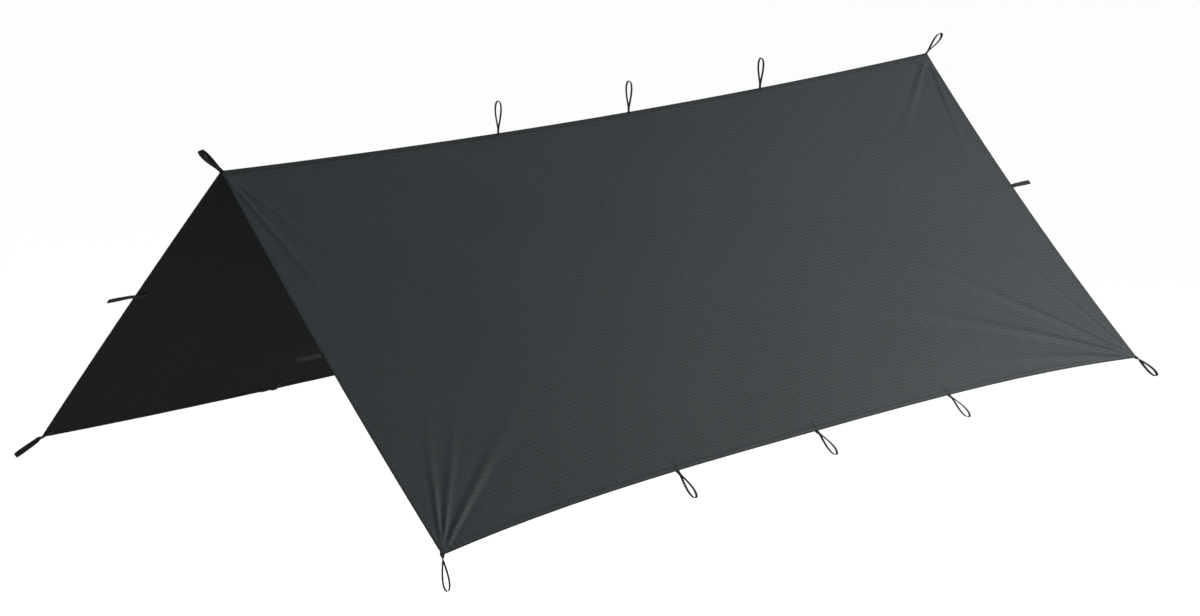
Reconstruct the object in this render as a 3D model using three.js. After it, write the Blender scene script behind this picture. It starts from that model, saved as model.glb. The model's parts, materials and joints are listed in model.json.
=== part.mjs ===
// Tarp shelter: two fabric panels that meet at a ridge, with hems, reinforcements and webbing tie-out loops.
// Millimetres. +X runs along the ridge, the front panel falls towards -Y, +Z is up.
// The origin is the middle of the straight line between the two ends of the ridge.
import * as THREE from 'three';

// Overall shape
const ridgeLength = 3500;
const slopeLength = 1470;
const pitchAngle = THREE.MathUtils.degToRad(45.8);
const ridgeSag = 33;
const cornerPull = 13;

// How the guyed cloth departs from flat panels: bottom edges drawn up between their corners (or down, if
// negative), gable edges drawn outwards (or inwards), and the middle of each panel sunk.
const bottomScallop = { front: 63, back: -35 };
const gableBulge = { front: { left: 0, right: -12 }, back: { left: 14, right: -12 } };
const panelBelly = { front: 16, back: 4 };

// Fabric layers
const fabricThickness = 1.0;
const layerGap = 0.4;
const hemWidth = 20;
const hemThickness = 1.0;
const patchLeg = 90;
const patchInset = 4;
const patchThickness = 0.8;

// Ridge seam and the gap that lets each panel turn about the ridge
const seamHalfWidth = 14;
const seamThickness = 1.2;
const seamTurnGap = 2.5;

// Webbing
const tapeWidth = 16;
const tapeThickness = 1.6;
const loopLength = 112;
const loopOpening = 21;
const flatLoopOpening = 3;
const loopNeck = 14;
const loopTurnGap = 2;
const loopStart = 3;
const tabLength = 45;
const tabEdgeGap = 2.5;
const ridgeTabHalfWidth = 8;

// How finely the curved pieces are divided
const panelColumns = 24;
const panelRows = 10;
const loopSegments = 19;

// Where a panel's cloth begins, below the seam, and how tall each row of its grid is
const clothTop = seamHalfWidth + seamTurnGap;
const rowHeight = (slopeLength - clothTop) / panelRows;

const fabric = new THREE.MeshStandardMaterial({ color: 0x3c4042, roughness: 0.7, metalness: 0 });
const hemCloth = new THREE.MeshStandardMaterial({ color: 0x373b3d, roughness: 0.75, metalness: 0 });
const patchCloth = new THREE.MeshStandardMaterial({ color: 0x454a4c, roughness: 0.7, metalness: 0 });
const webbing = new THREE.MeshStandardMaterial({ color: 0x2a2726, roughness: 0.85, metalness: 0 });

const up = new THREE.Vector3(0, 0, 1);
const alongRidge = new THREE.Vector3(1, 0, 0);
const shelter = new THREE.Group();
shelter.name = 'tarp_shelter';

// side is -1 for the front panel, which falls towards -Y, and +1 for the back one.
const sides = { front: -1, back: 1 };

function slopeDirection(side) {
  return new THREE.Vector3(0, side * Math.cos(pitchAngle), -Math.sin(pitchAngle));
}

function panelNormal(side) {
  return new THREE.Vector3(0, side * Math.sin(pitchAngle), Math.cos(pitchAngle));
}

// A point on the middle of a panel's cloth: across runs from -1 at the left gable to +1 at the right one,
// and down is the distance from the ridge in millimetres.
function clothPoint(side, across, down) {
  const share = down / slopeLength;
  const arch = 4 * share * (1 - share);
  const word = side < 0 ? 'front' : 'back';
  const bulge = gableBulge[word][across < 0 ? 'left' : 'right'];
  const reach = ridgeLength / 2 + cornerPull * share + bulge * arch * across * across;
  const ridge = new THREE.Vector3(0, 0, -ridgeSag * (1 - across * across));
  const scallop = bottomScallop[word] * (1 - Math.abs(across) ** 3) * share;
  const point = ridge.multiplyScalar(1 - share);
  point.addScaledVector(slopeDirection(side), down - scallop);
  point.addScaledVector(panelNormal(side), -panelBelly[word] * arch);
  point.x = across * reach;
  return point;
}

// The cloth as it is built, flat between the grid's points, so that layers laid on it stay parallel.
function gridPoint(side, across, down) {
  const column = THREE.MathUtils.clamp((across + 1) / 2 * panelColumns, 0, panelColumns);
  const row = THREE.MathUtils.clamp((down - clothTop) / rowHeight, 0, panelRows);
  const left = Math.min(Math.floor(column), panelColumns - 1);
  const upper = Math.min(Math.floor(row), panelRows - 1);
  const corner = (c, r) => clothPoint(side, 2 * c / panelColumns - 1, clothTop + rowHeight * r);
  const upperEdge = corner(left, upper).lerp(corner(left + 1, upper), column - left);
  const lowerEdge = corner(left, upper + 1).lerp(corner(left + 1, upper + 1), column - left);
  return upperEdge.lerp(lowerEdge, row - upper);
}

// A closed sheet of even thickness over a grid of points, offset along the normal that offsetAt gives.
function sheetGeometry(columns, rows, pointAt, offsetAt) {
  const positions = [];
  for (const face of [1, -1]) {
    for (let r = 0; r <= rows; r += 1) {
      for (let c = 0; c <= columns; c += 1) {
        const point = pointAt(c / columns, r / rows).addScaledVector(offsetAt(c / columns, r / rows), face);
        positions.push(point.x, point.y, point.z);
      }
    }
  }
  const layer = (columns + 1) * (rows + 1);
  const at = (c, r) => r * (columns + 1) + c;
  const triangles = [];
  const addQuad = (a, b, c, d) => triangles.push(a, b, c, a, c, d);
  for (let r = 0; r < rows; r += 1) {
    for (let c = 0; c < columns; c += 1) {
      addQuad(at(c, r), at(c, r + 1), at(c + 1, r + 1), at(c + 1, r));
      addQuad(layer + at(c, r), layer + at(c + 1, r), layer + at(c + 1, r + 1), layer + at(c, r + 1));
    }
  }
  const rim = [];
  for (let r = 0; r < rows; r += 1) rim.push(at(0, r));
  for (let c = 0; c < columns; c += 1) rim.push(at(c, rows));
  for (let r = rows; r > 0; r -= 1) rim.push(at(columns, r));
  for (let c = columns; c > 0; c -= 1) rim.push(at(c, 0));
  rim.forEach((a, i) => {
    const b = rim[(i + 1) % rim.length];
    addQuad(a, layer + a, layer + b, b);
  });
  const geometry = new THREE.BufferGeometry();
  geometry.setAttribute('position', new THREE.Float32BufferAttribute(positions, 3));
  geometry.setIndex(triangles);
  return geometry;
}

// Turns a sheet's triangles inside out where its grid runs the other way round.
function flipped(geometry) {
  const index = geometry.index.array;
  for (let i = 0; i < index.length; i += 3) [index[i], index[i + 1]] = [index[i + 1], index[i]];
  return geometry;
}

function addMesh(name, geometry, material) {
  const mesh = new THREE.Mesh(geometry, material);
  mesh.name = name;
  shelter.add(mesh);
  return mesh;
}

// A layer on a panel over a grid of values of across and down, its middle raised above the cloth's middle.
function panelLayer(side, columnsAt, rowsAt, raise, thickness) {
  const normal = panelNormal(side);
  const pointAt = (c, r) => {
    const across = columnsAt[Math.round(c * (columnsAt.length - 1))];
    const down = rowsAt[Math.round(r * (rowsAt.length - 1))];
    return gridPoint(side, across, down).addScaledVector(normal, raise);
  };
  const offset = normal.clone().multiplyScalar(thickness / 2);
  const geometry = sheetGeometry(columnsAt.length - 1, rowsAt.length - 1, pointAt, () => offset);
  return side < 0 ? geometry : flipped(geometry);
}

const gridColumns = Array.from({ length: panelColumns + 1 }, (_, i) => 2 * i / panelColumns - 1);
const gridRows = Array.from({ length: panelRows + 1 }, (_, i) => clothTop + rowHeight * i);
const hemShare = 2 * hemWidth / ridgeLength;
const hemRaise = -(fabricThickness / 2 + layerGap + hemThickness / 2);

function addPanel(word) {
  const side = sides[word];
  addMesh(`${word}_panel`, panelLayer(side, gridColumns, gridRows, 0, fabricThickness), fabric);
  const hemTop = slopeLength - hemWidth;
  const bottomHem = panelLayer(side, gridColumns, [hemTop, slopeLength], hemRaise, hemThickness);
  addMesh(`${word}_bottom_hem`, bottomHem, hemCloth);
  const sideRows = [...gridRows.slice(0, -1), hemTop - layerGap];
  const leftHem = panelLayer(side, [-1, -1 + hemShare], sideRows, hemRaise, hemThickness);
  const rightHem = panelLayer(side, [1 - hemShare, 1], sideRows, hemRaise, hemThickness);
  addMesh(`${word}_left_hem`, leftHem, hemCloth);
  addMesh(`${word}_right_hem`, rightHem, hemCloth);
}

// A right-angled reinforcement on the outer face, in one corner of a panel.
function addPatch(word, end, place) {
  const side = sides[word];
  const across = (distance) => end * (1 - 2 * distance / ridgeLength);
  const down = (distance) => (place === 'bottom' ? slopeLength - distance : clothTop + distance);
  const near = patchInset;
  const corners = [[near, near], [near + patchLeg, near], [near, near + patchLeg]];
  const normal = panelNormal(side);
  const raise = fabricThickness / 2 + layerGap + patchThickness / 2;
  const positions = [];
  for (const face of [1, -1]) {
    for (const [x, y] of corners) {
      const point = gridPoint(side, across(x), down(y));
      point.addScaledVector(normal, raise + face * patchThickness / 2);
      positions.push(point.x, point.y, point.z);
    }
  }
  const geometry = new THREE.BufferGeometry();
  geometry.setAttribute('position', new THREE.Float32BufferAttribute(positions, 3));
  geometry.setIndex([0, 1, 2, 3, 5, 4, 0, 3, 4, 0, 4, 1, 1, 4, 5, 1, 5, 2, 2, 5, 3, 2, 3, 0]);
  const turned = side * end * (place === 'bottom' ? -1 : 1) > 0;
  const name = `${word}_${end < 0 ? 'left' : 'right'}_${place}_patch`;
  addMesh(name, turned ? flipped(geometry) : geometry, patchCloth);
}

// A saddle over the ridge between two values of across: its halfWidth runs down both slopes from the fold.
function saddleGeometry(columnsAt, halfWidth, raise, thickness) {
  const shares = [-1, 0, 1];
  const lift = (share) => {
    if (share === 0) return up.clone().divideScalar(Math.cos(pitchAngle));
    return panelNormal(share);
  };
  const pointAt = (c, r) => {
    const across = columnsAt[Math.round(c * (columnsAt.length - 1))];
    const share = shares[Math.round(r * 2)];
    const point = clothPoint(1, across, 0).addScaledVector(lift(share), raise);
    return point.addScaledVector(slopeDirection(share || 1), Math.abs(share) * halfWidth);
  };
  const offsetAt = (c, r) => lift(shares[Math.round(r * 2)]).multiplyScalar(thickness / 2);
  return flipped(sheetGeometry(columnsAt.length - 1, 2, pointAt, offsetAt));
}

// The outline of a loop's opening, from the neck round the far end and back: a teardrop.
function openingOutline(opening) {
  const length = loopLength - tapeThickness - loopNeck;
  const points = [];
  for (let i = 0; i < loopSegments; i += 1) {
    const turn = 2 * Math.PI * i / loopSegments;
    const along = loopNeck + length * Math.sin(turn / 2) ** 2;
    const width = opening / 2 * 1.3 * Math.sin(turn) * Math.sin(turn / 2) ** 1.5;
    points.push(new THREE.Vector2(along, width));
  }
  return points;
}

// A webbing loop along +X from its base, its opening in the XY plane and the tape's width along Z.
function loopGeometry(opening) {
  const inner = openingOutline(opening);
  const centre = new THREE.Vector2(loopNeck + (loopLength - loopNeck) * 0.6, 0);
  const outer = inner.slice(1).map((point, i) => {
    const before = inner[i];
    const after = inner[(i + 2) % inner.length];
    const normal = new THREE.Vector2(after.y - before.y, before.x - after.x).normalize();
    if (normal.dot(point.clone().sub(centre)) < 0) normal.negate();
    return point.clone().addScaledVector(normal, tapeThickness);
  });
  const shape = new THREE.Shape([
    new THREE.Vector2(loopStart, -tapeThickness),
    new THREE.Vector2(loopNeck, -tapeThickness),
    ...outer.slice().reverse().filter((point) => point.x > loopNeck),
    new THREE.Vector2(loopNeck, tapeThickness),
    new THREE.Vector2(loopStart, tapeThickness),
  ]);
  shape.holes.push(new THREE.Path(inner));
  const geometry = new THREE.ExtrudeGeometry(shape, { depth: tapeWidth, bevelEnabled: false });
  return geometry.translate(0, 0, -tapeWidth / 2);
}

// A loop's base is its place on the edge. It bends about the tape's width, just clear of that edge.
function addLoop(loop) {
  const aim = new THREE.Vector3(...loop.aim).normalize();
  const width = new THREE.Vector3(...loop.width);
  width.addScaledVector(aim, -width.dot(aim)).normalize();
  const opening = new THREE.Vector3().crossVectors(width, aim);
  const turn = new THREE.Matrix4().makeBasis(aim, opening, width);
  const mesh = addMesh(`${loop.name}_loop`, loopGeometry(loop.flat ? flatLoopOpening : loopOpening), webbing);
  mesh.quaternion.setFromRotationMatrix(turn);
  mesh.position.copy(loop.base).addScaledVector(aim, loopTurnGap);
  mesh.userData = { pivot: mesh.position.clone(), axis: width, aim };
}

// The sewn end of a loop: a flat tab under the hem that runs from the edge towards a point of the cloth.
function addPanelTab(loop, side, inner) {
  const along = inner.clone().sub(loop.base).normalize();
  const normal = panelNormal(side);
  normal.addScaledVector(along, -normal.dot(along)).normalize();
  const depth = fabricThickness / 2 + hemThickness + 2 * layerGap + tapeThickness / 2;
  const geometry = new THREE.BoxGeometry(tabLength, tapeWidth, tapeThickness);
  const mesh = addMesh(`${loop.name}_tab`, geometry, webbing);
  const turn = new THREE.Matrix4().makeBasis(along, new THREE.Vector3().crossVectors(normal, along), normal);
  mesh.quaternion.setFromRotationMatrix(turn);
  mesh.position.copy(loop.base).addScaledVector(normal, -depth);
  mesh.position.addScaledVector(along, tabEdgeGap + tabLength / 2);
}

function addRidgeTab(loop, across) {
  const half = tabLength / ridgeLength;
  const middle = THREE.MathUtils.clamp(across, -1 + half, 1 - half);
  const raise = -(seamThickness + tapeThickness) / 2 - layerGap;
  const geometry = saddleGeometry([middle - half, middle + half], ridgeTabHalfWidth, raise, tapeThickness);
  addMesh(`${loop.name}_tab`, geometry, webbing);
}

// Loops on the ridge: three stand up between the ends, and one leads out of each end.
const ridgeLoops = [
  { name: 'ridge_left_end', across: -1, aim: [-0.74, 0, 0.67], width: [0.335, -0.866, 0.372] },
  { name: 'ridge_left', across: -0.31, aim: [0.02, 0, 1], width: [0.42, 0.91, 0] },
  { name: 'ridge_middle', across: 0.054, aim: [0.03, 0, 1], width: [0.42, 0.91, 0] },
  { name: 'ridge_right', across: 0.45, aim: [0.06, 0, 1], width: [0.42, 0.91, 0] },
  { name: 'ridge_right_end', across: 1, aim: [0.8, 0, 0.6], width: [-0.25, -0.93, 0.28] },
];

// Loops on a bottom edge. out is the angle below the horizontal at which the loop leads away from the panel.
const bottomLoops = {
  front: [
    { name: 'left', across: -0.39, out: 43 },
    { name: 'middle', across: 0, out: 37 },
    { name: 'right', across: 0.4, out: 35 },
  ],
  back: [
    { name: 'left', across: -0.4, out: 10 },
    { name: 'middle', across: 0, out: 8 },
    { name: 'right', across: 0.4, out: 11 },
  ],
};

// Loops in the bottom corners: aim and width are for the front ones, and the back ones mirror their Y.
const cornerLoops = {
  front: {
    left: { aim: [-0.15, -0.35, -0.92], width: [-0.4, -0.9, 0.3] },
    right: { aim: [0.63, -0.39, -0.67], width: [-0.27, -0.92, 0.28] },
  },
  back: {
    left: { aim: [-0.66, 0.5, -0.56], width: [-0.4, 0.3, 0.86] },
    right: { aim: [0.66, 0.5, -0.56], width: [0.4, 0.3, 0.86] },
  },
};

// The gable edges' middle loops lie flat, a little nearer to the ridge than to the bottom.
const gableLoopDown = { front: { left: 710, right: 640 }, back: { left: 652, right: 640 } };
const ends = { left: -1, right: 1 };
const tabShare = 1 - 2 * tabLength / ridgeLength;

addMesh('ridge_seam', saddleGeometry(gridColumns, seamHalfWidth, 0, seamThickness), hemCloth);

for (const loop of ridgeLoops) {
  const fold = seamThickness / 2 / Math.cos(pitchAngle);
  const base = clothPoint(1, loop.across, 0).addScaledVector(up, fold);
  addRidgeTab(loop, loop.across);
  addLoop({ ...loop, base });
}

for (const word of Object.keys(sides)) {
  const side = sides[word];
  addPanel(word);
  for (const [endWord, end] of Object.entries(ends)) {
    addPatch(word, end, 'bottom');
    addPatch(word, end, 'top');
    const corner = { ...cornerLoops[word][endWord], name: `${word}_${endWord}_corner` };
    corner.base = gridPoint(side, end, slopeLength);
    addLoop(corner);
    addPanelTab(corner, side, gridPoint(side, end * tabShare, slopeLength - tabLength));
    const gable = { name: `${word}_${endWord}_gable`, flat: true, aim: [end, 0, 0] };
    gable.width = slopeDirection(side).toArray();
    const down = gableLoopDown[word][endWord];
    gable.base = gridPoint(side, end, down);
    addLoop(gable);
    addPanelTab(gable, side, gridPoint(side, end * tabShare, down));
  }
  for (const { name, across, out } of bottomLoops[word]) {
    const angle = THREE.MathUtils.degToRad(out);
    const loop = { name: `${word}_${name}_bottom`, aim: [0, side * Math.cos(angle), -Math.sin(angle)] };
    loop.width = alongRidge.clone().addScaledVector(panelNormal(side), 0.36 * side).toArray();
    loop.base = gridPoint(side, across, slopeLength);
    addLoop(loop);
    addPanelTab(loop, side, gridPoint(side, across, slopeLength - tabLength));
  }
}

export default shelter;
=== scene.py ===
import json
import math

import bpy
import numpy as np
from mathutils import Matrix, Vector


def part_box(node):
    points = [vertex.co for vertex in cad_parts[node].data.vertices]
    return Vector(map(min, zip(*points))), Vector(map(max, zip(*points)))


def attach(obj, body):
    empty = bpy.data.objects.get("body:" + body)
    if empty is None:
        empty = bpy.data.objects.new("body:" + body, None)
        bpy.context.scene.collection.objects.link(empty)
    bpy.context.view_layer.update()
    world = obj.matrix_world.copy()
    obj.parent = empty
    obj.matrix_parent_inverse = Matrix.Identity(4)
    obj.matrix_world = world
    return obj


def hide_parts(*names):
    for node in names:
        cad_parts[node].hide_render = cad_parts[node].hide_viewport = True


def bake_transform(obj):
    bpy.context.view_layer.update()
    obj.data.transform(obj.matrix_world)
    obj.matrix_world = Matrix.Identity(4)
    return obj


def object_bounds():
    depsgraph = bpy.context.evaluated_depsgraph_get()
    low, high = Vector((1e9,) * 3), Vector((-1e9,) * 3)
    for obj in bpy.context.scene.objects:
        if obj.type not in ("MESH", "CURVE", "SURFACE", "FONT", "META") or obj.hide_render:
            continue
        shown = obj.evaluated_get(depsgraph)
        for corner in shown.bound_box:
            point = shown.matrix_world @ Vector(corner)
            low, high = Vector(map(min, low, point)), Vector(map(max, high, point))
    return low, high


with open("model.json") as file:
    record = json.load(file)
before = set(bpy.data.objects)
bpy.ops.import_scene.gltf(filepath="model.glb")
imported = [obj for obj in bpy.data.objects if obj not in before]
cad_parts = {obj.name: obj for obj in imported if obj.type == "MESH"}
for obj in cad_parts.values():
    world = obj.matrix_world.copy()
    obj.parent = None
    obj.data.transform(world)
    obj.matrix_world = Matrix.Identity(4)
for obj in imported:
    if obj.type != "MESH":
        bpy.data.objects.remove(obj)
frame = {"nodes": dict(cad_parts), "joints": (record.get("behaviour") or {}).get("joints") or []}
joints = {joint["name"]: joint for joint in frame["joints"]}
cadBox = [list(corner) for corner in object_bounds()]
print("frame loaded:", len(frame["nodes"]), "nodes")

cameraView = {
    "azimuth": -44.9,  # degrees, 0 looks along +Y
    "elevation": 12.54,
    "roll": -0.51,
    "distance": 11.933,
    "aim": (0, 0, -0.53),
    "side": -0.0392,  # how far the camera stands to the right of its aim
    "lift": -0.1959,  # and how far above it
    "lens": 100.3,
}


def placeCamera(view):
    azimuth = math.radians(view["azimuth"])
    elevation = math.radians(view["elevation"])
    roll = math.radians(view["roll"])
    level = math.cos(elevation)
    back = Vector((math.sin(azimuth) * level, -math.cos(azimuth) * level, math.sin(elevation)))
    right = Vector((math.cos(azimuth), math.sin(azimuth), 0))
    up = back.cross(right)
    rolledRight = right * math.cos(roll) + up * math.sin(roll)
    rolledUp = up * math.cos(roll) - right * math.sin(roll)
    place = Vector(view["aim"]) + back * view["distance"]
    place += rolledRight * view["side"] + rolledUp * view["lift"]
    bpy.ops.object.camera_add()
    camera = bpy.context.object
    camera.name = "camera"
    camera.data.lens = view["lens"]
    camera.data.sensor_width = 36
    camera.data.clip_end = 200
    turn = Matrix((rolledRight, rolledUp, back)).transposed().to_4x4()
    camera.matrix_world = Matrix.Translation(place) @ turn
    bpy.context.scene.camera = camera


placeCamera(cameraView)
print("camera placed")


class Wire:
    # one socket of a node tree; arithmetic on it adds Math nodes
    def __init__(self, tree, socket=None):
        self.tree = tree
        self.socket = socket

    def node(self, kind, settings=None, inputs=None):
        made = self.tree.nodes.new(kind)
        for name, value in (settings or {}).items():
            setattr(made, name, value)
        for name, value in (inputs or {}).items():
            if isinstance(value, Wire):
                self.tree.links.new(value.socket, made.inputs[name])
            else:
                made.inputs[name].default_value = value
        return made

    def output(self, kind, settings=None, inputs=None, name=0):
        return Wire(self.tree, self.node(kind, settings, inputs).outputs[name])

    def maths(self, operation, *values):
        return self.output("ShaderNodeMath", {"operation": operation}, dict(enumerate(values)))

    def __add__(self, other):
        return self.maths("ADD", self, other)

    def __sub__(self, other):
        return self.maths("SUBTRACT", self, other)

    def __rsub__(self, other):
        return self.maths("SUBTRACT", other, self)

    def __mul__(self, other):
        return self.maths("MULTIPLY", self, other)

    def __pow__(self, other):
        return self.maths("POWER", self, other)

    __radd__ = __add__
    __rmul__ = __mul__

    def sine(self):
        return self.maths("SINE", self)

    def split(self):
        parts = self.node("ShaderNodeSeparateXYZ", None, {"Vector": self}).outputs
        return [Wire(self.tree, part) for part in parts]


def startMaterial(name):
    material = bpy.data.materials.new(name)
    material.use_nodes = True
    material.node_tree.nodes.clear()
    return material, Wire(material.node_tree)


def finishMaterial(pen, settings, innerSettings=None, innerFace=None):
    surface = pen.output("ShaderNodeBsdfPrincipled", None, settings, "BSDF")
    if innerSettings:
        inner = pen.output("ShaderNodeBsdfPrincipled", None, innerSettings, "BSDF")
        surface = pen.output("ShaderNodeMixShader", None, {0: innerFace, 1: surface, 2: inner})
    pen.node("ShaderNodeOutputMaterial", None, {"Surface": surface})


def ribs(place, spacing, sharpness):
    # thin raised lines every spacing metres, 0 between them and 1 on them
    return ((place * (2 * math.pi / spacing)).sine() * 0.5 + 0.5) ** sharpness


def bumped(pen, relief, distance, strength=1.0):
    inputs = {"Height": relief, "Distance": distance, "Strength": strength}
    return pen.output("ShaderNodeBump", None, inputs)


def flatPlace(pen):
    # where a point lay on the flat cloth or tape before it was draped
    return pen.output("ShaderNodeAttribute", {"attribute_name": "flatPlace"}, None, "Vector")


def mixColours(pen, factor, dark, light):
    inputs = {0: factor, 6: (*dark, 1), 7: (*light, 1)}  # the factor and the two colours
    return pen.output("ShaderNodeMix", {"data_type": "RGBA"}, inputs, 2)


clothLook = {
    "dark": (0.0072, 0.0098, 0.0107),
    "light": (0.0142, 0.0188, 0.0203),
    "inner": ((0.0065, 0.0070, 0.0078), (0.0130, 0.0138, 0.0152)),  # the inner face, darker than the outer: painted shade for the inside of the shelter
    "ribSpacing": 0.0145,
    "weave": 0.0024,
    "roughness": 0.5,
    "bump": 0.00045,
}


def ripstopMaterial(name, look):
    material, pen = startMaterial(name)
    place = flatPlace(pen)
    x, y, height = place.split()
    innerFace = pen.maths("LESS_THAN", height, 0.0)  # 1 on the side that faces into the shelter
    alongRidge = ribs(y, look["ribSpacing"], 5)
    downSlope = ribs(x, look["ribSpacing"], 7)
    turn = 2 * math.pi / look["weave"]
    weave = (x * turn).sine() * (y * turn).sine()
    clouds = pen.output("ShaderNodeTexNoise", None, {"Vector": place, "Scale": 3.2, "Detail": 4.0})
    slubs = pen.output("ShaderNodeTexNoise", None, {"Vector": place, "Scale": 190.0, "Detail": 2.0})
    drawn = pen.output("ShaderNodeCombineXYZ", None, {"X": x * 26, "Y": y * 150})
    dashes = pen.output("ShaderNodeTexNoise", None, {"Vector": drawn, "Scale": 1.0, "Detail": 3.0})
    tone = clouds * 0.4 + slubs * 0.25 + dashes * 0.7 + weave * 0.05
    tone = tone - alongRidge * 0.3 - downSlope * 0.1 - 0.05
    relief = alongRidge * (dashes + 0.4) * 0.9 + downSlope * 0.45 + weave * 0.15 + slubs * 0.25
    normal = bumped(pen, relief, look["bump"], 0.8)
    finishMaterial(pen, {
        "Base Color": mixColours(pen, tone, look["dark"], look["light"]),
        "Roughness": slubs * 0.14 + clouds * 0.08 + (look["roughness"] - 0.11),
        "Normal": normal,
        "Specular IOR Level": 0.05,
    }, {
        # the inner face takes the darker colour pair: painted shade for the inside of the shelter
        "Base Color": mixColours(pen, tone, *look["inner"]),
        "Roughness": slubs * 0.1 + 0.75,
        "Normal": normal,
        "Specular IOR Level": 0.004,
    }, innerFace)
    return material


tapeLook = {
    "dark": (0.0045, 0.0044, 0.0043),
    "light": (0.0150, 0.0142, 0.0135),
    "yarn": 0.0016,
    "bump": 0.0004,
}


def tapeMaterial(name, look):
    material, pen = startMaterial(name)
    place = flatPlace(pen)
    x, y, _ = place.split()
    turn = 2 * math.pi / look["yarn"]
    chevron = (x * turn + (y * (turn * 0.5)).sine() * 2.4).sine() * 0.5 + 0.5
    fuzz = pen.output("ShaderNodeTexNoise", None, {"Vector": place, "Scale": 420.0, "Detail": 3.0})
    tone = chevron * 0.55 + fuzz * 0.5 - 0.05
    normal = bumped(pen, chevron + fuzz * 0.4, look["bump"])
    finishMaterial(pen, {
        "Base Color": mixColours(pen, tone, look["dark"], look["light"]),
        "Roughness": fuzz * 0.2 + 0.62,
        "Normal": normal,
        "Specular IOR Level": 0.08,
    })
    return material


threadLook = {
    "dark": (0.008, 0.009, 0.0095),
    "light": (0.03, 0.033, 0.034),
    "twist": 0.0009,
    "bump": 0.00015,
}


def threadMaterial(name, look):
    material, pen = startMaterial(name)
    place = pen.output("ShaderNodeTexCoord", None, None, "Object")
    x, y, z = place.split()
    twist = ((x + y + z) * (2 * math.pi / look["twist"])).sine() * 0.5 + 0.5
    normal = bumped(pen, twist, look["bump"])
    finishMaterial(pen, {
        "Base Color": mixColours(pen, twist, look["dark"], look["light"]),
        "Roughness": twist * 0.1 + 0.55,
        "Normal": normal,
        "Specular IOR Level": 0.08,
    })
    return material


hemLook = {
    **clothLook,
    "dark": (0.0060, 0.0080, 0.0087),
    "light": (0.0115, 0.0150, 0.0160),
    "roughness": 0.56,
}
patchLook = {
    **clothLook,
    "dark": (0.0085, 0.0114, 0.0123),
    "light": (0.0162, 0.0210, 0.0226),
}
clothPaint = ripstopMaterial("ripstop", clothLook)
hemPaint = ripstopMaterial("hem_ripstop", hemLook)
patchPaint = ripstopMaterial("patch_ripstop", patchLook)
tapePaint = tapeMaterial("woven_tape", tapeLook)
threadPaint = threadMaterial("sewing_thread", threadLook)
print("materials ready")


# The shape of the pitched cloth: its outline comes from the frame, the rest is how it is
# drawn out.
_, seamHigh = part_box("ridge_seam")
frontLow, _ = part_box("front_panel")
pitched = {
    "half": seamHigh.x,  # half the ridge
    "run": -frontLow.y,
    "rise": -frontLow.z,
    "sag": 0.033,
    "pull": 0.013,  # how far the bottom corners are drawn out
    "scallop": {"front": 0.063, "back": -0.035},
    "bulge": {"front": (0.0, -0.012), "back": (0.014, -0.012)},  # left and right gable edges
    "belly": {"front": 0.016, "back": 0.004},
}
half = pitched["half"]
slope = math.hypot(pitched["run"], pitched["rise"])
pitchCos = pitched["run"] / slope
pitchSin = pitched["rise"] / slope

# Folds that fan out from a corner. Each is an angle in degrees from the bottom edge (or from
# the ridge), its height, its half width near the corner, and how far from it it is highest.
bottomFolds = {
    ("front", -1): [
        (62, 0.0040, 0.006, 0.11),
        (50, 0.0040, 0.006, 0.13),
        (33, 0.0052, 0.007, 0.15),
    ],
    ("front", 1): [
        (66, 0.0026, 0.008, 0.16),
        (38, 0.0042, 0.008, 0.24),
        (22, 0.0036, 0.008, 0.26),
        (8, 0.0020, 0.008, 0.18),
    ],
    ("back", -1): [
        (66, 0.0022, 0.008, 0.16),
        (40, 0.0022, 0.009, 0.18),
        (18, 0.0016, 0.008, 0.14),
    ],
    ("back", 1): [
        (64, 0.0028, 0.008, 0.14),
        (44, 0.0032, 0.009, 0.16),
        (24, 0.0022, 0.008, 0.14),
    ],
}
topFolds = {
    ("front", -1): [
        (74, 0.0030, 0.008, 0.14),
        (56, 0.0020, 0.008, 0.12),
    ],
    ("front", 1): [
        (76, 0.0034, 0.008, 0.14),
        (40, 0.0032, 0.009, 0.13),
    ],
    ("back", -1): [
        (72, 0.0030, 0.008, 0.14),
        (46, 0.0028, 0.009, 0.14),
    ],
    ("back", 1): [
        (70, 0.0030, 0.008, 0.14),
        (44, 0.0028, 0.009, 0.14),
    ],
}
foldShape = {"spread": 0.036, "hollow": 1.2}  # how a fold widens outwards, and the dips beside it
sewnReach = {"from": 0.02, "to": 0.075}  # the tape and patch hold the cloth flat near a corner
hem = {
    "width": 0.02,
    "rows": (0.003, 0.017),  # its two rows of stitches, in from the edge
    "rowWidth": 0.0012,
    "stepWidth": 0.0012,
    "rise": 0.0005,
    "drawn": 0.0004,
    "pucker": 0.00045,
    "puckerSpacing": 0.027,
    "thickness": 0.0005,
}


def eased(share):
    # from 0 to 1 with a slow start and end
    return share * share * (3 - 2 * share)


def fanFolds(inward, down, folds):
    # inward and down are distances from the corner along its two edges
    reach = np.hypot(inward, down) + 1e-6
    start = np.clip((reach - sewnReach["from"]) / (sewnReach["to"] - sewnReach["from"]), 0, 1)
    lift = np.zeros_like(reach)
    for angle, height, width, peak in folds:
        turn = math.radians(angle)
        ahead = inward * math.cos(turn) + down * math.sin(turn)
        aside = down * math.cos(turn) - inward * math.sin(turn)
        spread = width + foldShape["spread"] * reach
        across = (aside / spread) ** 2
        along = np.clip(ahead, 0, None) / peak
        ridge = (1 - foldShape["hollow"] * across) * np.exp(-across)
        lift += height * along * np.exp(1 - along) * ridge
    return lift * eased(start)


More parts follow.
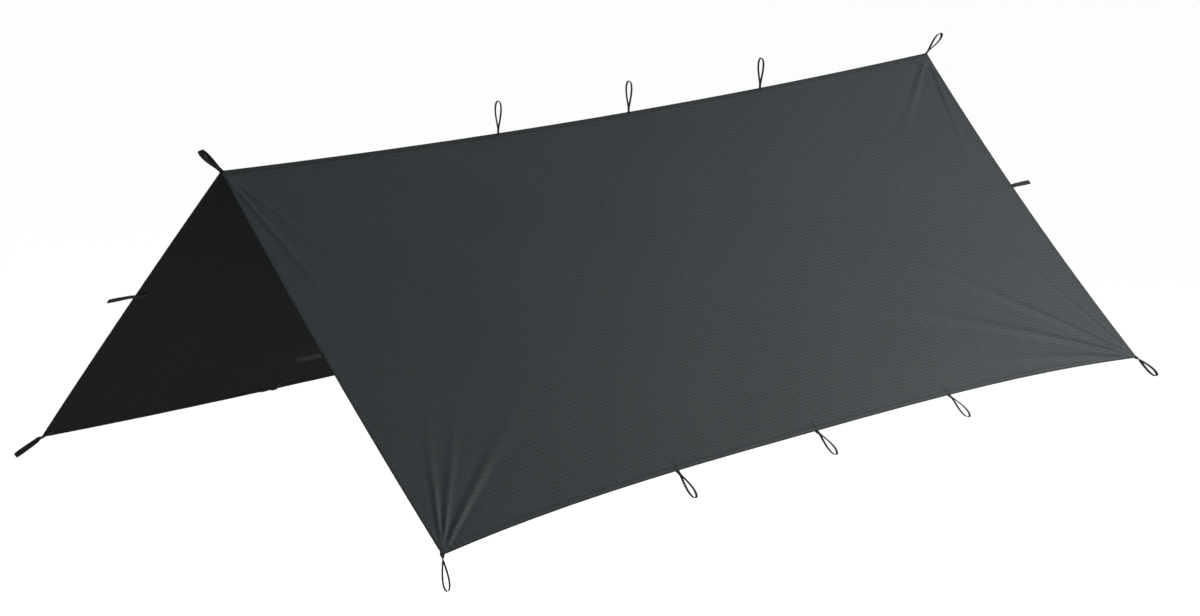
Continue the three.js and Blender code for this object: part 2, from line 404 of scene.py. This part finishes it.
def hemRelief(edge, run):
    # the doubled cloth stands up a little, drawn in along its two rows of stitches
    beyond = np.clip((edge - hem["width"]) / hem["stepWidth"], -40, 40)
    step = hem["rise"] / (1 + np.exp(beyond))
    rows = sum(np.exp(-((edge - row) / hem["rowWidth"]) ** 2) for row in hem["rows"])
    uneven = 3 * np.sin(run * 2.3)
    pucker = hem["pucker"] * np.sin(run * 2 * math.pi / hem["puckerSpacing"] + uneven)
    return step - hem["drawn"] * rows + pucker * np.exp(-((edge - 0.012) / 0.016) ** 2)


# The slow waves of a whole sheet: turns along the ridge and down the slope, start and height.
sheetWaves = [(2.1, 3.3, 0.6, 0.0016), (4.7, -2.6, 1.9, 0.0009), (9.1, 5.2, 0, 0.0005)]
sheetWaves += [(-3.1, 11.3, 0.8, 0.0005)]
waveFade = 0.25  # how far in from the edges the waves reach their full height


def swell(x, y):
    waves = sum(np.sin(x * a + y * b + start) * height for a, b, start, height in sheetWaves)
    edge = np.minimum(half - np.abs(x), np.minimum(y, slope - y))
    return waves * eased(np.clip(edge / waveFade, 0, 1))


def clothSurface(word, x, y):
    # x runs along the ridge and y down the slope, on the flat cloth
    side = -1 if word == "front" else 1
    across = x / half
    share = y / slope
    arch = 4 * share * (1 - share)
    left, right = pitched["bulge"][word]
    bulge = np.where(across < 0, left, right)
    reach = half + pitched["pull"] * share + bulge * arch * across ** 2
    lift = -pitched["belly"][word] * arch + swell(x, y)
    for end in (-1, 1):
        inward = half - end * x
        lift = lift + fanFolds(inward, slope - y, bottomFolds[(word, end)])
        lift = lift + fanFolds(inward, y, topFolds[(word, end)])
        lift = lift + hemRelief(inward, y)
    lift = lift + hemRelief(slope - y, x)
    fall = y - pitched["scallop"][word] * (1 - np.abs(across) ** 3) * share
    droop = -pitched["sag"] * (1 - across ** 2) * (1 - share)
    places = np.empty((len(x), 3))
    places[:, 0] = across * reach
    places[:, 1] = side * (pitchCos * fall + pitchSin * lift)
    places[:, 2] = -pitchSin * fall + pitchCos * lift + droop
    return places


def clothNormal(word, x, y):
    step = 0.0008
    alongX = clothSurface(word, x + step, y) - clothSurface(word, x - step, y)
    alongY = clothSurface(word, x, y + step) - clothSurface(word, x, y - step)
    normal = np.cross(alongX, alongY) * (-1 if word == "front" else 1)
    return normal / np.linalg.norm(normal, axis=1)[:, None]


def deselectAll():
    if bpy.context.object and bpy.context.object.mode != "OBJECT":
        bpy.ops.object.mode_set(mode="OBJECT")
    bpy.ops.object.select_all(action="DESELECT")


def choose(piece):
    deselectAll()
    piece.select_set(True)
    bpy.context.view_layer.objects.active = piece


def readPlaces(piece):
    places = np.zeros(len(piece.data.vertices) * 3)
    piece.data.vertices.foreach_get("co", places)
    return places.reshape(-1, 3)


def writePlaces(piece, places):
    piece.data.vertices.foreach_set("co", places.ravel())
    piece.data.update()


def keepFlat(piece, places):
    attribute = piece.data.attributes.new("flatPlace", "FLOAT_VECTOR", "POINT")
    attribute.data.foreach_set("vector", places.astype(np.float32).ravel())


def addGrid(name, columns, rows):
    # a flat grid with its lines at the given places
    deselectAll()
    across, down = len(columns) - 1, len(rows) - 1
    bpy.ops.mesh.primitive_grid_add(x_subdivisions=across, y_subdivisions=down, size=1)
    piece = bpy.context.object
    piece.name = name
    places = readPlaces(piece)
    column = np.rint((places[:, 0] + 0.5) * across).astype(int)
    row = np.rint((places[:, 1] + 0.5) * down).astype(int)
    places[:, 0] = np.asarray(columns)[column]
    places[:, 1] = np.asarray(rows)[row]
    writePlaces(piece, places)
    return piece, row, column


def applyModifier(piece, kind, **settings):
    choose(piece)
    modifier = piece.modifiers.new(kind.lower(), kind)
    for name, value in settings.items():
        setattr(modifier, name, value)
    bpy.ops.object.modifier_apply(modifier=modifier.name)


def faceOutwards(piece):
    choose(piece)
    bpy.ops.object.mode_set(mode="EDIT")
    bpy.ops.mesh.select_all(action="SELECT")
    bpy.ops.mesh.normals_make_consistent(inside=False)
    bpy.ops.object.mode_set(mode="OBJECT")


def drape(piece, word):
    # lays a piece modelled flat on the pitched cloth
    flat = readPlaces(piece)
    x, y, height = flat.T
    keepFlat(piece, flat)
    writePlaces(piece, clothSurface(word, x, y) + clothNormal(word, x, y) * height[:, None])


ridgeRounding = {"radius": 0.0025, "share": 0.6, "turn": 0.008}


def drapeOverRidge(piece):
    # the same for a piece that straddles the ridge: y is below 0 on the front panel
    flat = readPlaces(piece)
    x, y, height = flat.T
    keepFlat(piece, flat)
    radius = ridgeRounding["radius"]
    down = np.abs(y)
    front, back = clothSurface("front", x, down), clothSurface("back", x, down)
    places = np.where((y < 0)[:, None], front, back)
    places[:, 2] += pitchSin * (down + radius - np.hypot(down, radius)) * ridgeRounding["share"]
    towardsBack = np.clip(y / ridgeRounding["turn"] + 0.5, 0, 1)[:, None]
    normal = clothNormal("front", x, down) * (1 - towardsBack)
    normal += clothNormal("back", x, down) * towardsBack
    normal /= np.linalg.norm(normal, axis=1)[:, None]
    writePlaces(piece, places + normal * height[:, None])


def finishPiece(piece, material, smooth=60):
    piece.data.materials.clear()
    piece.data.materials.append(material)
    faceOutwards(piece)
    choose(piece)
    bpy.ops.object.shade_smooth_by_angle(angle=math.radians(smooth))


def bendAtRidge(piece):
    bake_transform(piece)


def graded(length, edges, coarse):
    # places from 0 to length, close together at both ends
    count = round((length - 2 * edges[-1]) / coarse) + 1
    inner = np.linspace(edges[-1], length - edges[-1], count)
    return np.concatenate([edges[:-1], inner, length - np.array(edges[:-1])[::-1]])


clothGrid = {
    "edges": [0, 0.0015, 0.003, 0.0045, 0.008, 0.0125, 0.0155, 0.017, 0.0185, 0.020]
    + [0.0225, 0.026, 0.031, 0.038]
    + [0.045 + 0.005 * i for i in range(15)] + [0.124 + 0.0095 * i for i in range(28)],
    "coarseAlong": 0.024,
    "coarseDown": 0.02,
    "thickness": 0.0006,
    "ridgeGap": 0.001,  # how far down the slope the cloth starts
}


def makePanel(word):
    columns = graded(2 * half, clothGrid["edges"], clothGrid["coarseAlong"]) - half
    rows = graded(slope, clothGrid["edges"], clothGrid["coarseDown"])
    rows[0] = clothGrid["ridgeGap"]
    piece, _, _ = addGrid(word + "_cloth", columns, rows)
    applyModifier(piece, "SOLIDIFY", thickness=clothGrid["thickness"], offset=0)
    drape(piece, word)
    finishPiece(piece, clothPaint)
    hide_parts(word + "_panel")
    bendAtRidge(piece)
    return piece


# The fold of a hem: how far beyond the cloth's edge and how high each line of it lies.
hemFold = [(-0.0009, 0.0006), (0.0002, 0.00052), (0.0007, 0.0), (0.0006, -0.0007)]
hemFold += [(-0.0006, -0.00115), (-0.006, -0.0012), (-0.013, -0.0012), (-0.0195, -0.0012)]
hemFold += [(-0.0203, -0.0009)]


def makeBottomHem(word):
    columns = graded(2 * half, clothGrid["edges"], clothGrid["coarseAlong"]) - half
    piece, row, _ = addGrid(word + "_bottom_hem_fold", columns, range(len(hemFold)))
    places = readPlaces(piece)
    fold = np.array(hemFold)
    places[:, 1] = slope + fold[row, 0]
    places[:, 2] = fold[row, 1]
    writePlaces(piece, places)
    applyModifier(piece, "SOLIDIFY", thickness=hem["thickness"], offset=0)
    drape(piece, word)
    finishPiece(piece, hemPaint)
    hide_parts(word + "_bottom_hem")
    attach(piece, word + "_panel")
    return piece


def makeSideHem(word, endWord):
    end = -1 if endWord == "left" else 1
    rows = graded(slope, clothGrid["edges"], clothGrid["coarseDown"])
    rows = rows[(rows > 0.001) & (rows < slope - 0.0215)]
    piece, _, column = addGrid(f"{word}_{endWord}_hem_fold", range(len(hemFold)), rows)
    places = readPlaces(piece)
    fold = np.array(hemFold)
    places[:, 0] = end * (half + fold[column, 0])
    places[:, 2] = fold[column, 1]
    writePlaces(piece, places)
    applyModifier(piece, "SOLIDIFY", thickness=hem["thickness"], offset=0)
    drape(piece, word)
    finishPiece(piece, hemPaint)
    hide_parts(f"{word}_{endWord}_hem")
    bendAtRidge(piece)
    return piece


stitchSize = {"length": 0.0042, "pitch": 0.0062, "radius": 0.00042}


def addStitches(name, runs):
    # runs are straight rows on the flat cloth: start, end and the height that the thread lies at
    made = []
    for start, end, height in runs:
        ahead = Vector(end) - Vector(start)
        count = max(1, int(ahead.length / stitchSize["pitch"]))
        deselectAll()
        bpy.ops.mesh.primitive_uv_sphere_add(segments=5, ring_count=4, radius=1)
        stitch = bpy.context.object
        stitch.scale = (stitchSize["length"] / 2, stitchSize["radius"], stitchSize["radius"])
        stitch.rotation_euler = (0, 0, math.atan2(ahead.y, ahead.x))
        first = Vector(start) + ahead.normalized() * stitchSize["pitch"] / 2
        stitch.location = (*first, height)
        bpy.ops.object.transform_apply(location=True, rotation=True, scale=True)
        step = ahead / count
        applyModifier(stitch, "ARRAY", count=count, use_relative_offset=False,
                      use_constant_offset=True, constant_offset_displace=(step.x, step.y, 0))
        made.append(stitch)
    deselectAll()
    for stitch in made:
        stitch.select_set(True)
    bpy.context.view_layer.objects.active = made[0]
    if len(made) > 1:
        bpy.ops.object.join()
    made[0].name = name
    return made[0]


threadHeights = (0.0006, -0.0016)  # on the outer face of the cloth and on the hem's inner one


def hemRuns(start, end, inward):
    runs = []
    for height in threadHeights:
        for offset in hem["rows"]:
            shift = Vector(inward) * offset
            runs.append((Vector(start) + shift, Vector(end) + shift, height))
    return runs


def makeHemThreads(word):
    bottom = hemRuns((-half + 0.004, slope), (half - 0.004, slope), (0, -1))
    piece = addStitches(word + "_bottom_hem_thread", bottom)
    drape(piece, word)
    finishPiece(piece, threadPaint)
    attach(piece, word + "_panel")
    threads = [piece]
    for endWord, end in (("left", -1), ("right", 1)):
        runs = hemRuns((end * half, 0.02), (end * half, slope - 0.024), (-end, 0))
        piece = addStitches(f"{word}_{endWord}_hem_thread", runs)
        drape(piece, word)
        finishPiece(piece, threadPaint)
        bendAtRidge(piece)
        threads.append(piece)
    return threads


patch = {
    "leg": 0.09,
    "inset": 0.004,
    "cells": 14,
    "height": 0.0009,
    "thickness": 0.0004,
    "seam": 0.0165,  # how far down the slope the upper patches start
    "threadInset": 0.003,
    "threadShort": 0.012,  # how much shorter the row of stitches is than the patch
    "threadHeight": 0.0005,
}


def makePatch(word, endWord, place):
    end = -1 if endWord == "left" else 1
    spots = np.linspace(0, patch["leg"], patch["cells"] + 1)
    piece, _, _ = addGrid(f"{word}_{endWord}_{place}_patch_cloth", spots, spots)
    bpy.ops.object.mode_set(mode="EDIT")
    bpy.ops.mesh.select_all(action="SELECT")
    bpy.ops.mesh.bisect(plane_co=(patch["leg"], 0, 0), plane_no=(1, 1, 0), clear_outer=True)
    bpy.ops.object.mode_set(mode="OBJECT")
    applyModifier(piece, "SOLIDIFY", thickness=patch["thickness"], offset=0)
    places = readPlaces(piece)
    places[:, 0] = end * (half - patch["inset"] - places[:, 0])
    down = patch["inset"] + places[:, 1]
    places[:, 1] = slope - down if place == "bottom" else patch["seam"] + down
    places[:, 2] += patch["height"]
    writePlaces(piece, places)
    drape(piece, word)
    finishPiece(piece, patchPaint)
    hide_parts(f"{word}_{endWord}_{place}_patch")
    near = patch["inset"] + patch["threadInset"]
    far = near + patch["leg"] - patch["threadShort"]

    def spot(inward, depth):
        down = slope - depth if place == "bottom" else patch["seam"] + depth
        return end * (half - inward), down

    height = patch["height"] + patch["threadHeight"]
    corners = [spot(near, near), spot(far, near), spot(near, far)]
    runs = [(corners[i], corners[(i + 1) % 3], height) for i in range(3)]
    thread = addStitches(f"{word}_{endWord}_{place}_patch_thread", runs)
    drape(thread, word)
    finishPiece(thread, threadPaint)
    for item in (piece, thread):
        if place == "bottom":
            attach(item, word + "_panel")
        else:
            bendAtRidge(item)
    return piece, thread


seam = {
    "halfWidth": 0.0135,
    "height": 0.0011,
    "thickness": 0.0007,
    "rows": (0.0035, 0.0115),
    "drawn": 0.0003,  # how far the stitches pull it in
    "threadHeight": 0.00025,
}


def makeSeam():
    columns = graded(2 * half, clothGrid["edges"][4:24], 0.03) - half
    width = seam["halfWidth"]
    beside = [0.0018, 0.0035, 0.006, 0.009, width * 0.94, width]
    rows = [-place for place in reversed(beside)] + [0] + beside
    piece, row, _ = addGrid("ridge_seam_fell", columns, rows)
    places = readPlaces(piece)
    outer = np.isin(row, (0, len(rows) - 1))
    places[:, 2] = np.where(outer, seam["height"] - seam["drawn"], seam["height"])
    for offset in seam["rows"]:
        gap = (np.abs(places[:, 1]) - offset) / 0.001
        places[:, 2] -= seam["drawn"] * np.exp(-gap ** 2)
    writePlaces(piece, places)
    applyModifier(piece, "SOLIDIFY", thickness=seam["thickness"], offset=0)
    drapeOverRidge(piece)
    finishPiece(piece, hemPaint)
    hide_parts("ridge_seam")
    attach(piece, "ridge")
    runs = []
    for offset in seam["rows"]:
        for side in (-1, 1):
            ends = (-half + 0.004, side * offset), (half - 0.004, side * offset)
            runs.append((*ends, seam["height"] + seam["threadHeight"]))
    thread = addStitches("ridge_seam_thread", runs)
    drapeOverRidge(thread)
    finishPiece(thread, threadPaint)
    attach(thread, "ridge")
    return piece


tape = {
    "width": 0.016,
    "thickness": 0.0013,
    "tail": 0.046,  # how far the sewn ends reach under the hem
    "neck": 0.014,
    "length": 0.112,
    "opening": 0.021,
    "flatOpening": 0.003,
    "depth": 0.0029,  # of the two sewn layers under the cloth
    "segments": 150,
    "edge": 0.0004,
    "base": 0.002,  # how far behind its hinge the loop starts
    "twist": (-0.003, 0.023),  # where it turns from the way it is sewn to the way it hangs
}


def tapePath(opening, tail):
    # the tape's middle line: out along one layer, round the loop and back along the other
    turns = np.linspace(0, 2 * math.pi, 97)
    reach = tape["length"] - tape["neck"] - tape["thickness"]
    ring = np.empty((len(turns), 2))
    ring[:, 0] = tape["neck"] + reach * np.sin(turns / 2) ** 2
    ring[:, 1] = opening / 2 * 1.3 * np.sin(turns) * np.abs(np.sin(turns / 2)) ** 1.5
    along = np.gradient(ring, axis=0)
    along[0], along[-1] = (1, 0), (-1, 0)
    along /= np.linalg.norm(along, axis=1)[:, None]
    ring += np.column_stack([-along[:, 1], along[:, 0]]) * tape["thickness"] * 0.54
    straight = np.linspace(-tail, tape["neck"], 24)[:-1]
    out = np.column_stack([straight, np.full(len(straight), ring[0, 1])])
    back = np.column_stack([straight[::-1], np.full(len(straight), ring[-1, 1])])
    path = np.vstack([out, ring, back])
    lengths = np.linalg.norm(np.diff(path, axis=0), axis=1)
    run = np.concatenate([[0], np.cumsum(lengths)])
    even = np.linspace(0, run[-1], tape["segments"] + 1)
    return even, np.column_stack([np.interp(even, run, path[:, i]) for i in range(2)])


def basis(aim, opening, width):
    return Matrix((aim, opening, width)).transposed().to_quaternion()


def sewnSpot(word, edge, ahead, along):
    # where the middle of the sewn tape lies under the cloth, along being measured outwards
    # from the cloth's edge
    depth = max(-along, 0.003)
    x = edge[0] + ahead.x * np.array([depth, depth - 0.003, depth + 0.003])
    y = edge[1] + ahead.y * np.array([depth, depth - 0.003, depth + 0.003])
    places = clothSurface(word, x, y)
    normal = Vector(clothNormal(word, x[:1], y[:1])[0])
    outward = Vector(places[1] - places[2]).normalized()
    outward = (outward - normal * outward.dot(normal)).normalized()
    centre = Vector(places[0]) + outward * (along + depth) - normal * tape["depth"]
    return centre, outward, normal


def addTape(name, run):
    # a flat strip with rounded edges; column says which line across the tape each point belongs to
    wide = tape["width"] / 2
    edge = tape["edge"]
    beside = [wide * 0.4, wide - 3 * edge, wide - edge, wide]
    rows = [-place for place in reversed(beside)] + beside
    piece, row, _ = addGrid(name, run, rows)
    applyModifier(piece, "SOLIDIFY", thickness=tape["thickness"], offset=0)
    places = readPlaces(piece)
    inset = wide - np.abs(places[:, 1])
    places[:, 2] *= np.clip(inset / edge, 0.35, 1)
    writePlaces(piece, places)
    column = np.rint(np.interp(places[:, 0], run, np.arange(len(run)))).astype(int)
    return piece, column


def makeTie(label, sewn, tail, flat=False):
    # sewn is None on the ridge, or else the panel, the place on its edge and the way inwards
    joint = joints[label + "_loop_swing"]
    pivot, width = Vector(joint["pos_m"]), Vector(joint["axis"]).normalized()
    corners = np.array([vertex.co for vertex in frame["nodes"][label + "_loop"].data.vertices])
    reach = np.linalg.norm(corners - np.array(pivot), axis=1)
    aim = Vector(corners[reach > tape["length"] - 0.005].mean(axis=0)) - pivot
    aim = (aim - width * aim.dot(width)).normalized()
    base = pivot - aim * tape["base"]
    run, path = tapePath(tape["flatOpening"] if flat else tape["opening"], tail)
    piece, column = addTape(label + "_tape", run)
    flatPlaces = readPlaces(piece)
    keepFlat(piece, flatPlaces)
    ringTurn = basis(aim, width.cross(aim), width)
    lean = np.gradient(path, axis=0)
    lean /= np.linalg.norm(lean, axis=1)[:, None]
    turned = 1
    if sewn:
        _, outward, normal = sewnSpot(*sewn, 0)
        edgeTurn = basis(outward, normal, outward.cross(normal))
        apart = math.cos(edgeTurn.rotation_difference(ringTurn).angle)
        turned = -1 if apart < -0.1 else 1  # the ribbon takes the shorter way round
    twistStart, twistEnd = tape["twist"]
    spots = []
    for along in path[:, 0]:
        share = eased(min(max((along - twistStart) / (twistEnd - twistStart), 0), 1))
        turn, centre = ringTurn, base + aim * along
        if sewn and share < 1:
            sewnCentre, outward, normal = sewnSpot(*sewn, along)
            turn = basis(outward, normal * turned, outward.cross(normal * turned))
            turn = turn.slerp(ringTurn, share)
            centre = sewnCentre.lerp(centre, share)
        spots.append((centre, *turn.to_matrix().transposed()))
    spots = np.array([[list(vector) for vector in spot] for spot in spots])
    centres, aims, openings, widths = spots.swapaxes(0, 1)
    thickness = flatPlaces[:, 2]
    places = centres[column] - aims[column] * (lean[column, 1] * thickness)[:, None]
    places += openings[column] * (path[column, 1] + lean[column, 0] * thickness)[:, None]
    places += widths[column] * flatPlaces[:, 1][:, None]
    writePlaces(piece, places)
    finishPiece(piece, tapePaint, 50)
    return piece, base, aim


def flatPlaceOf(word, point):
    # where a point of the pitched cloth lies on the flat cloth
    target = np.array(point)
    rounds, fineness = 9, 21
    x, y, spanX, spanY = 0.0, slope / 2, half, slope / 2
    for _ in range(rounds):
        acrossPlaces = np.linspace(x - spanX, x + spanX, fineness)
        downPlaces = np.linspace(y - spanY, y + spanY, fineness)
        gridX, gridY = np.meshgrid(acrossPlaces, downPlaces)
        gridX = np.clip(gridX.ravel(), -half, half)
        gridY = np.clip(gridY.ravel(), 0, slope)
        gap = np.linalg.norm(clothSurface(word, gridX, gridY) - target, axis=1)
        best = int(np.argmin(gap))
        x, y, spanX, spanY = gridX[best], gridY[best], spanX * 0.25, spanY * 0.25
    return x, y


boxStitch = {"length": 0.036, "width": 0.011, "start": 0.006, "tack": 0.0042}


def makeTieStitches(label, word, edge, ahead):
    # a stitched box with a cross in it, and a bar tack at the edge, through the cloth and the tape
    aside = Vector((-ahead.y, ahead.x))
    edge = Vector(edge)
    near, far = boxStitch["start"], boxStitch["start"] + boxStitch["length"]
    wide = boxStitch["width"] / 2
    box = ((near, -wide), (far, -wide), (far, wide), (near, wide))
    corners = [edge + ahead * along + aside * across for along, across in box]
    tacks = [edge + ahead * boxStitch["tack"] + aside * wide * s for s in (-1, 1)]
    runs = []
    for height in (0.0007, -tape["depth"] - tape["thickness"] - 0.0004):
        for i in range(4):
            runs.append((corners[i], corners[(i + 1) % 4], height))
        runs.append((corners[0], corners[2], height))
        runs.append((corners[1], corners[3], height))
        for shift in (-0.001, 0, 0.001):
            runs.append((tacks[0] + ahead * shift, tacks[1] + ahead * shift, height))
    piece = addStitches(label + "_stitches", runs)
    drape(piece, word)
    finishPiece(piece, threadPaint)
    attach(piece, word + "_panel")
    return piece


def makePanelTie(word, label, inward, flat=False):
    edge = flatPlaceOf(word, joints[label + "_loop_swing"]["pos_m"])
    ahead = Vector(inward).normalized()
    piece, base, aim = makeTie(label, (word, edge, ahead), tape["tail"], flat)
    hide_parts(label + "_loop", label + "_tab")
    base + aim * 0.001
    base + aim * 0.014
    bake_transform(piece)
    return piece, makeTieStitches(label, word, edge, ahead)


def makeRidgeTie(label):
    piece, base, aim = makeTie(label, None, 0.006)
    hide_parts(label + "_loop")
    base + aim * 0.001
    base + aim * 0.014
    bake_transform(piece)
    tabLow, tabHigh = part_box(label + "_tab")
    middle, length = (tabLow.x + tabHigh.x) / 2, tabHigh.x - tabLow.x
    columns = np.linspace(middle - length / 2 + 0.001, middle + length / 2 - 0.001, 25)
    wide = tape["width"] / 2
    beside = [0.001, 0.0025, wide * 0.6, wide]
    rows = [-place for place in reversed(beside)] + [0] + beside
    tab, _, _ = addGrid(label + "_tab_tape", columns, rows)
    applyModifier(tab, "SOLIDIFY", thickness=tape["thickness"], offset=0)
    places = readPlaces(tab)
    places[:, 2] -= 0.0016  # under the cloth
    writePlaces(tab, places)
    drapeOverRidge(tab)
    finishPiece(tab, tapePaint, 50)
    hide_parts(label + "_tab")
    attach(tab, "ridge")


ridgeSeam = makeSeam()
print("ridge seam made")
for word in ("front", "back"):
    panel = makePanel(word)
    onPanel = [makeBottomHem(word)] + makeHemThreads(word)
    print(word, "panel and bottom hem made")
    for endWord, end in (("left", -1), ("right", 1)):
        onPanel.append(makeSideHem(word, endWord))
        onPanel += makePatch(word, endWord, "bottom")
        onPanel += makePatch(word, endWord, "top")
        onPanel += makePanelTie(word, f"{word}_{endWord}_corner", (-end, -1))
        onPanel += makePanelTie(word, f"{word}_{endWord}_gable", (-end, 0), True)
    for place in ("left", "middle", "right"):
        onPanel += makePanelTie(word, f"{word}_{place}_bottom", (0, -1))
    print(word, "hems, patches and tie-outs made")
for label in ("ridge_left_end", "ridge_left", "ridge_middle", "ridge_right", "ridge_right_end"):
    makeRidgeTie(label)
print("ridge tie-outs made")


floorLook = {
    "size": 160,
    "drop": 2.6,  # below the lowest point of the shelter, which hangs clear of the ground
    "colour": (0.93, 0.93, 0.93, 1),
    "roughness": 0.9,
}


def makeFloor(look):
    deselectAll()
    place = (0, 0, cadBox[0][2] - look["drop"])
    bpy.ops.mesh.primitive_plane_add(size=look["size"], location=place)
    floor = bpy.context.object
    floor.name = "floor"
    material, pen = startMaterial("pale_floor")
    finishMaterial(pen, {"Base Color": look["colour"], "Roughness": look["roughness"]})
    floor.data.materials.append(material)


def addSoftLight(name, place, target, size, power):
    deselectAll()
    bpy.ops.object.light_add(type="AREA", location=place)
    light = bpy.context.object
    light.name = name
    light.data.shape = "RECTANGLE"
    light.data.size, light.data.size_y = size
    light.data.energy = power
    light.rotation_euler = (Vector(target) - Vector(place)).to_track_quat("-Z", "Y").to_euler()


def lightWorld(colour, strength):
    world = bpy.data.worlds.new("studio")
    bpy.context.scene.world = world
    world.use_nodes = True
    background = world.node_tree.nodes["Background"]
    background.inputs["Color"].default_value = colour
    background.inputs["Strength"].default_value = strength


keyLight = {
    "place": (4.3, -3.2, 1.9),
    "target": (1.6, -0.8, -0.9),
    "size": (1.8, 1.8),
    "power": 500,
}
worldLight = {"colour": (1, 1, 1, 1), "strength": 1.05}
addSoftLight("key", **keyLight)
makeFloor(floorLook)
lightWorld(**worldLight)
bpy.context.scene.view_settings.view_transform = "Standard"
print("floor and lights ready")
